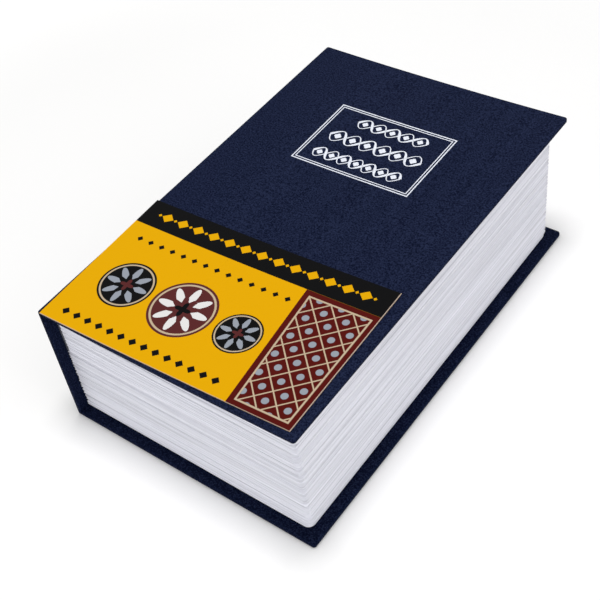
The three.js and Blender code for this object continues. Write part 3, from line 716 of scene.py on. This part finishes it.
def foil_dot(net, centre, radius):
    """A small filled lozenge with hollow sides."""
    outline = []
    for k in range(DOT_SIDES):
        t = 2 * math.pi * k / DOT_SIDES
        r = radius * (0.62 + 0.38 * abs(math.cos(2 * t)) ** 0.7)
        outline.append((centre[0] + r * math.cos(t), centre[1] + r * math.sin(t)))
    rows = []
    for lift in (0, FOIL_THICKNESS):
        row = []
        for a, b in outline:
            x, y = foil_place(a, b)
            row.append((x, y, float(bow(x)) + FOIL_LIFT + lift))
        rows.append(net.row(row))
    net.strip(rows[0], rows[1], closed=True)
    net.faces += [tuple(rows[0][::-1]), tuple(rows[1])]


def plait(net, middle, half_width, waves, height):
    """A broad and a fine wave that cross over each other, with a lozenge in each eye."""
    steps = WAVE_STEPS * waves
    for way, fine, broad in PLAIT_STROKES:
        line, widths = [], []
        for k in range(steps + 1):
            turn = math.pi * waves * k / steps
            sway = way * height * math.sin(turn)
            along = middle[0] + half_width * (2 * k / steps - 1)
            line.append((along + PLAIT_LEAN * sway, middle[1] + sway))
            widths.append(fine + (broad - fine) * math.cos(turn) ** 2)
        foil_stroke(net, line, widths)
    for i in range(waves):
        place = middle[0] + half_width * ((2 * i + 1) / waves - 1)
        foil_dot(net, (place, middle[1]), height * DOT_SHARE)


def foil_ornament(material):
    """Three rows of plaiting, a common bookbinder's pattern."""
    net = Net()
    for middle, half_width, waves, height in PLAITS:
        plait(net, middle, half_width, waves, height)
    piece = add_piece("title_plait_foil", net, material, smooth_angle=FOIL_SMOOTH_ANGLE)
    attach(piece, "cover")


# Materials

class Wire:
    """A socket of a material. Arithmetic on wires adds Math nodes."""

    def __init__(self, paint, socket):
        self.paint = paint
        self.socket = socket

    def __add__(self, other):
        return self.paint.math("ADD", self, other)

    def __sub__(self, other):
        return self.paint.math("SUBTRACT", self, other)

    def __rsub__(self, other):
        return self.paint.math("SUBTRACT", other, self)

    def __mul__(self, other):
        return self.paint.math("MULTIPLY", self, other)

    def __truediv__(self, other):
        return self.paint.math("DIVIDE", self, other)

    __radd__ = __add__


def linear(colour):
    """An sRGB colour of 0 to 255 as Blender's linear one."""
    parts = [c / 255 for c in colour]
    return tuple(p / 12.92 if p <= 0.04045 else ((p + 0.055) / 1.055) ** 2.4 for p in parts) + (1,)


class Paint:
    """A material and its nodes."""

    def __init__(self, name, **fixed):
        self.material = bpy.data.materials.new(name)
        self.material.use_nodes = True
        self.tree = self.material.node_tree
        self.tree.nodes.clear()
        self.shader = self.tree.nodes.new("ShaderNodeBsdfPrincipled")
        self.output = self.tree.nodes.new("ShaderNodeOutputMaterial")
        self.tree.links.new(self.shader.outputs[0], self.output.inputs["Surface"])
        for key, value in fixed.items():
            self.set(key.replace("_", " "), value)

    def set(self, name, value):
        self.fill(self.shader.inputs[name], value)

    def fill(self, socket, value):
        if isinstance(value, Wire):
            self.tree.links.new(value.socket, socket)
        else:
            socket.default_value = value

    def node(self, kind, settings=None, sockets=None, output=0):
        made = self.tree.nodes.new("ShaderNode" + kind)
        for key, value in (settings or {}).items():
            setattr(made, key, value)
        for key, value in (sockets or {}).items():
            self.fill(made.inputs[key], value)
        return Wire(self, made.outputs[output])

    def math(self, operation, *values):
        return self.node("Math", {"operation": operation}, dict(enumerate(values)))

    def blend(self, factor, first, second):
        return self.node("Mix", {"data_type": "RGBA"}, {0: factor, 6: first, 7: second}, output=2)

    def step(self, value, low, high):
        """A smooth ramp from 0 to 1 between two values of a wire."""
        sockets = {0: value, 1: low, 2: high}
        return self.node("MapRange", {"interpolation_type": "SMOOTHSTEP"}, sockets)

    def place(self):
        """Where a point is on the object at rest."""
        return self.node("Attribute", {"attribute_name": "rest_place"}, output=1)

    def object_place(self):
        return self.node("TexCoord", output=3)

    def stretched(self, place, factors):
        return self.node("VectorMath", {"operation": "MULTIPLY"}, {0: place, 1: factors})

    def axes(self, place):
        made = self.tree.nodes.new("ShaderNodeSeparateXYZ")
        self.fill(made.inputs[0], place)
        return [Wire(self, made.outputs[i]) for i in range(3)]

    def noise(self, place, scale, detail=3.0, roughness=0.5):
        sockets = {"Vector": place, "Scale": scale, "Detail": detail, "Roughness": roughness}
        return self.node("TexNoise", sockets=sockets)

    def bump(self, height, strength, distance_mm):
        sockets = {"Height": height, "Strength": strength, "Distance": distance_mm * MM}
        self.set("Normal", self.node("Bump", sockets=sockets))

    def tint(self, amount, colour):
        """The colour made lighter and darker by a wire round 0.5."""
        low, high = (tuple(c * share for c in colour[:3]) + (1,) for share in (0.5, 1.5))
        return self.blend(amount, low, high)


def cloth_paint():
    """Navy book cloth: a close weave under a matt filling, with painted shade on its edges and over
    the back cover.
    """
    paint = Paint("navy_book_cloth", Roughness=0.82)
    paint.set("Specular IOR Level", 0.05)
    place = paint.place()
    x, y, z = paint.axes(place)
    pitch = 2 * math.pi / (THREAD_PITCH * MM)
    slub = paint.noise(paint.stretched(place, (900, 260, 900)), 1.0, detail=2.0)
    weave = None
    for axis in (x, y, z):
        thread = paint.math("SINE", axis * pitch + slub * 5.0)
        weave = thread if weave is None else weave + thread
    grain = paint.noise(place, 1500.0, detail=2.0, roughness=0.8)
    blotch = paint.noise(place, 620.0, detail=2.0, roughness=0.6)
    cloud = paint.noise(place, 38.0)
    along = paint.math("MAXIMUM", (x / MM - COVER_X) / BOW_SPAN, 0.0)
    depth = BOOK_TOP + along * along * COVER_BOW - z / MM
    # painted shade: the turned edges, and all of the back cover, are darker than the front cover's
    # top
    edge_painted_shade = paint.step(depth, 0.4, 1.3)  # the turned edges, darker than the top
    amount = 0.5 + (grain - 0.5) * 3.9 + (blotch - 0.5) * 0.5 + weave * 0.05 + (cloud - 0.5) * 0.12
    # painted shade darkens the cloth below the front cover's top face
    amount = amount - edge_painted_shade * 0.3
    paint.set("Base Color", paint.blend(amount, linear(CLOTH_DARK), linear(CLOTH_LIGHT)))
    paint.bump(grain * 0.8 + weave * 0.12, strength=0.55, distance_mm=0.12)
    return paint.material


def pages_paint():
    """White moulded plastic with the fine lines of page edges in painted shade and highlight, with
    painted shade down in the grooves and painted light towards its foot.
    """
    paint = Paint("moulded_page_edges", Roughness=0.5)
    paint.set("Specular IOR Level", 0.3)
    place = paint.place()
    # The groove depth feeds painted shade down in the grooves.
    groove = paint.node("Attribute", {"attribute_name": "groove"}, output=2)
    lines = paint.noise(paint.stretched(place, (9, 9, 1500)), 1.0, roughness=0.65)
    wide = paint.noise(paint.stretched(place, (6, 6, 420)), 1.0, detail=2.0)
    cloud = paint.noise(place, 30.0, detail=2.0)
    height = paint.axes(place)[2] / MM
    # painted light near the foot of the moulding
    foot = 1 - paint.step(height, PAGES_LOW.z, PAGES_LOW.z + FOOT_PAINTED_LIGHT)
    # painted shade and highlight: the fine and wide lines make the leaves lighter and darker
    amount = 0.56 + (lines - 0.5) * 0.75 + (wide - 0.5) * 0.16 + (cloud - 0.5) * 0.06
    # painted shade in the grooves, and painted light towards the foot
    amount = amount - groove * 0.22 + foot * 0.1
    paint.set("Base Color", paint.tint(amount, linear((229, 229, 237))))
    paint.bump(lines, strength=0.5, distance_mm=0.15)
    return paint.material


def card_paint():
    paint = Paint("label_card_edge", Roughness=0.7)
    place = paint.place()
    fibre = paint.noise(place, 1500.0, detail=2.0)
    paint.set("Base Color", paint.tint(0.5 + (fibre - 0.5) * 0.2, linear((140, 116, 84))))
    return paint.material


def label_paint():
    """The printed side of the label."""
    paint = Paint("label_print", Roughness=0.42)
    paint.set("Specular IOR Level", 0.03)
    place = paint.place()
    x, y = paint.axes(place)[:2]
    cos, sin = math.cos(LABEL_TILT), math.sin(LABEL_TILT)
    px = x / MM - LABEL_PLACE[0]
    py = y / MM - LABEL_PLACE[1]
    a = px * cos + py * sin
    b = py * cos - px * sin

    half_w, half_h = LABEL_SIZE[0] / 2, LABEL_SIZE[1] / 2
    band_low = half_h - BAND_DEPTH
    paper = linear((196, 176, 160))
    yellow = linear((228, 168, 2))
    black = linear((11, 11, 12))
    red = linear((84, 18, 14))
    tan = linear((196, 176, 148))
    grey = linear((150, 156, 166))
    maroon = linear((88, 40, 40))
    white = linear((228, 226, 224))

    def over(value, limit):
        return paint.step(value, limit - PRINT_EDGE, limit + PRINT_EDGE)

    def size(u, v):
        return paint.math("SQRT", u * u + v * v)

    def lozenge(u, v, wide, high):
        reach = paint.math("ABSOLUTE", u) / wide + paint.math("ABSOLUTE", v) / high
        return 1 - paint.step(reach, 1 - PRINT_EDGE / high, 1 + PRINT_EDGE / high)

    def repeat(value, pitch):
        """The distance from the middle of the nearest of a row of places."""
        return (paint.math("FRACT", value / pitch + 100.5) - 0.5) * pitch

    def star(u, v, radius, points, deep, turn):
        around = paint.math("COSINE", paint.math("ARCTAN2", v, u) * points + turn)
        limit = (around * deep + (1 - deep)) * radius
        return 1 - paint.step(size(u, v) - limit, -PRINT_EDGE, PRINT_EDGE)

    def disc(u, v, radius):
        return 1 - over(size(u, v), radius)

    def medallion(colour, centre, radius, outer, inner, heart):
        u, v = a - centre[0], b - centre[1]
        colour = paint.blend(disc(u, v, radius), colour, outer)
        ring_out, ring_in = (radius * share for share in MEDALLION_RING)
        colour = paint.blend(disc(u, v, ring_out) * over(size(u, v), ring_in), colour, tan)
        for fill, (share, points, deep, turn) in zip((inner, outer, heart), MEDALLION_STARS):
            colour = paint.blend(star(u, v, radius * share, points, deep, turn), colour, fill)
        return colour

    def panel_inside(margin):
        across = over(a + b * PANEL_SLOPE, PANEL_START + margin) * (1 - over(a, half_w - margin))
        return across * over(b, margin - half_h) * (1 - over(b, band_low - margin))

    band = over(b, band_low)
    panel = over(a + b * PANEL_SLOPE, PANEL_START) * (1 - band)
    colour = paint.blend(panel, yellow, red)

    # Trellis on the dark panel
    first, second = repeat(a + b, TRELLIS_PITCH), repeat(a - b, TRELLIS_PITCH)
    nearest = paint.math("MINIMUM", paint.math("ABSOLUTE", first), paint.math("ABSOLUTE", second))
    lines = 1 - over(nearest, TRELLIS_LINE)
    line_out, line_in = PANEL_LINE
    inside = panel_inside(line_in)
    half_pitch = TRELLIS_PITCH / 2
    eye_u = repeat(a + b - half_pitch, TRELLIS_PITCH)
    eye_v = repeat(a - b - half_pitch, TRELLIS_PITCH)
    eyes = 1 - over(size(eye_u, eye_v), TRELLIS_EYE)
    colour = paint.blend(panel_inside(line_out), colour, tan)
    colour = paint.blend(inside, colour, red)
    colour = paint.blend(lines * inside, colour, tan)
    colour = paint.blend(eyes * inside, colour, grey)

    # Medallions on the yellow field, with a row of lozenges above and below them
    colour = medallion(colour, (-35.5, -7.5), 11.0, black, grey, maroon)
    colour = medallion(colour, (-9.5, -7.5), 13.0, maroon, white, black)
    colour = medallion(colour, (14.8, -7.5), 9.0, black, grey, maroon)
    field = over(a, BEADS_FROM * BEAD_PITCH) * (1 - over(a, BEADS_TO * BEAD_PITCH))
    beads = lozenge(repeat(a, BEAD_PITCH), b + BEADS_BELOW, BEAD_BELOW, BEAD_BELOW)
    beads = beads + lozenge(repeat(a, BEAD_PITCH), b - BEADS_ABOVE, BEAD_ABOVE, BEAD_ABOVE)
    colour = paint.blend(beads * field, colour, black)

    # Row of large and small lozenges on the band
    colour = paint.blend(band, colour, black)
    row = lozenge(repeat(a, ROW_PITCH), b - ROW_HEIGHT, 2.6, 2.3)
    row = row + lozenge(repeat(a + ROW_PITCH / 2, ROW_PITCH), b - ROW_HEIGHT, 0.75, 0.75)
    row = row * over(a, -ROW_REACH) * (1 - over(a, ROW_REACH))
    colour = paint.blend(row, colour, yellow)

    # Bare card along the side and the tail edge
    trim = over(a, half_w - 0.3) + (1 - over(b, 0.16 - half_h))
    colour = paint.blend(paint.math("MINIMUM", trim, 1.0), colour, paper)
    paint.set("Base Color", colour)
    fleck = paint.noise(place, 700.0, detail=2.0)
    paint.set("Roughness", 0.36 + fleck * 0.12)
    return paint.material


def foil_paint():
    paint = Paint("silver_foil", Roughness=0.45, Metallic=0.1)
    place = paint.place()
    wear = paint.noise(place, 1800.0, detail=2.0)
    paint.set("Base Color", paint.tint(0.5 + (wear - 0.5) * 0.5, linear((232, 236, 246))))
    paint.bump(wear, strength=0.3, distance_mm=0.05)
    return paint.material


def metal_paint(name, colour, roughness, metallic, grain=0.1, bump=0.12, scale=BRUSHED_GRAIN):
    paint = Paint(name, Metallic=metallic)
    place = paint.object_place()
    brush = paint.noise(paint.stretched(place, scale), 1.0, roughness=0.6)
    cloud = paint.noise(place, 45.0, detail=2.0)
    amount = 0.5 + (brush - 0.5) * grain + (cloud - 0.5) * 0.08
    paint.set("Base Color", paint.tint(amount, linear(colour)))
    paint.set("Roughness", roughness - 0.06 + brush * 0.12)
    paint.bump(brush, strength=bump, distance_mm=0.05)
    return paint.material


def board_paint(name, colour):
    paint = Paint(name, Roughness=0.9)
    place = paint.object_place()
    fibre = paint.noise(paint.stretched(place, (500, 500, 2200)), 1.0, detail=4.0, roughness=0.7)
    speck = paint.noise(place, 900.0, detail=2.0)
    amount = 0.5 + (fibre - 0.5) * 0.4 + (speck - 0.5) * 0.2
    paint.set("Base Color", paint.tint(amount, linear(colour)))
    paint.bump(fibre, strength=0.4, distance_mm=0.1)
    return paint.material


def dress_frame():
    """Gives each solid of the frame that stays its finish."""
    steel = metal_paint("hinge_steel", (128, 130, 137), 0.42, 0.75)
    bright = metal_paint("bright_plate", (205, 207, 212), 0.22, 1.0, grain=0.06, bump=0.06)
    brass = metal_paint("lock_brass", (196, 164, 92), 0.3, 1.0, 0.1, 0.1, PLUG_GRAIN)
    grey = metal_paint("lid_grey_paint", (140, 148, 154), 0.42, 0.15, 0.12, 0.25, COAT_GRAIN)
    dark = metal_paint("tray_dark_paint", (44, 46, 51), 0.5, 0.1, 0.2, 0.3, COAT_GRAIN)
    board = board_paint("grey_board", (150, 146, 130))
    paper = board_paint("dark_endpaper", ENDPAPER_COLOUR)
    finishes = {
        "board": board, "endpaper": paper, "tray": dark, "lid": grey, "hinge": steel,
        "bright": bright, "plug": brass,
    }
    slots = {part["node"]: part["material_slot"] for part in frame["record"]["subparts"]}
    for node, piece in frame["nodes"].items():
        material = finishes.get(slots[node])
        if material is not None:
            piece.data.materials.clear()
            piece.data.materials.append(material)


# Room and camera

def make_camera():
    """The photograph's camera, from a fit to the book's outline."""
    right, down = Vector(CAMERA_RIGHT), Vector(CAMERA_DOWN)
    forward = right.cross(down)
    turn = Matrix((right, -down, -forward)).transposed()
    camera = bpy.data.objects.new("camera", bpy.data.cameras.new("camera"))
    bpy.context.scene.collection.objects.link(camera)
    camera.matrix_world = Matrix.Translation(Vector(CAMERA_PLACE) * MM) @ turn.to_4x4()
    camera.data.sensor_width = SENSOR_WIDTH
    camera.data.lens = SENSOR_WIDTH * FOCAL_PIXELS / PICTURE_PIXELS
    camera.data.clip_start = 0.01
    bpy.context.scene.camera = camera


def make_floor():
    """A white floor that keeps the book's shadow."""
    net = Net()
    corners = [(-FLOOR_REACH, -FLOOR_REACH, 0), (FLOOR_REACH, -FLOOR_REACH, 0)]
    corners += [(FLOOR_REACH, FLOOR_REACH, 0), (-FLOOR_REACH, FLOOR_REACH, 0)]
    net.faces.append(tuple(net.row(corners)))
    paint = Paint("white_floor", Roughness=0.9)
    paint.set("Specular IOR Level", 0.0)
    path = paint.tree.nodes.new("ShaderNodeLightPath")
    seen = Wire(paint, path.outputs["Is Camera Ray"]) + Wire(paint, path.outputs["Is Glossy Ray"])
    seen = paint.math("MINIMUM", seen + Wire(paint, path.outputs["Is Transmission Ray"]), 1.0)
    x, y = paint.axes(paint.object_place())[:2]
    away = paint.step(paint.math("SQRT", x * x + y * y), *FLOOR_FADE)
    paint.set("Base Color", paint.blend(seen, FLOOR_COLOUR, FLOOR_SEEN))
    paint.set("Emission Color", paint.blend(seen * (FLOOR_GLOW + away), (0, 0, 0, 1), (1, 1, 1, 1)))
    paint.set("Emission Strength", 1.0)
    floor = add_piece("floor", net, paint.material)


def make_light():
    """A dim room that looks white to the camera, and three softboxes."""
    world = bpy.data.worlds.new("studio")
    bpy.context.scene.world = world
    world.use_nodes = True
    tree = world.node_tree
    tree.nodes.clear()
    path = tree.nodes.new("ShaderNodeLightPath")
    output = tree.nodes.new("ShaderNodeOutputWorld")
    mix = tree.nodes.new("ShaderNodeMixShader")
    dim = tree.nodes.new("ShaderNodeBackground")
    dim.inputs["Color"].default_value = ROOM_COLOUR
    dim.inputs["Strength"].default_value = ROOM_STRENGTH
    white = tree.nodes.new("ShaderNodeBackground")
    white.inputs["Color"].default_value = (1, 1, 1, 1)
    white.inputs["Strength"].default_value = 1
    seen = path.outputs["Is Camera Ray"]
    for kind in ("Is Glossy Ray", "Is Transmission Ray"):
        either = tree.nodes.new("ShaderNodeMath")
        either.operation = "MAXIMUM"
        tree.links.new(seen, either.inputs[0])
        tree.links.new(path.outputs[kind], either.inputs[1])
        seen = either.outputs[0]
    tree.links.new(seen, mix.inputs["Fac"])
    tree.links.new(dim.outputs[0], mix.inputs[1])
    tree.links.new(white.outputs[0], mix.inputs[2])
    tree.links.new(mix.outputs[0], output.inputs["Surface"])
    for name, place, size, power in SOFTBOXES:
        data = bpy.data.lights.new(name, "AREA")
        data.size = size * MM
        data.energy = power
        lamp = bpy.data.objects.new(name, data)
        bpy.context.scene.collection.objects.link(lamp)
        lamp.location = Vector(place) * MM
        lamp.rotation_mode = "QUATERNION"
        lamp.rotation_quaternion = (-Vector(place)).to_track_quat("-Z", "Y")


bpy.context.scene.view_settings.view_transform = "Standard"
make_camera()
make_floor()
make_light()
dress_frame()
navy = cloth_paint()
front_cloth(navy)
joint_lining(board_paint("lining_paper", ENDPAPER_COLOUR))
back_cloth(navy)
page_block(pages_paint())
front_label(label_paint(), card_paint())
foil = foil_paint()
foil_frame(foil)
foil_ornament(foil)
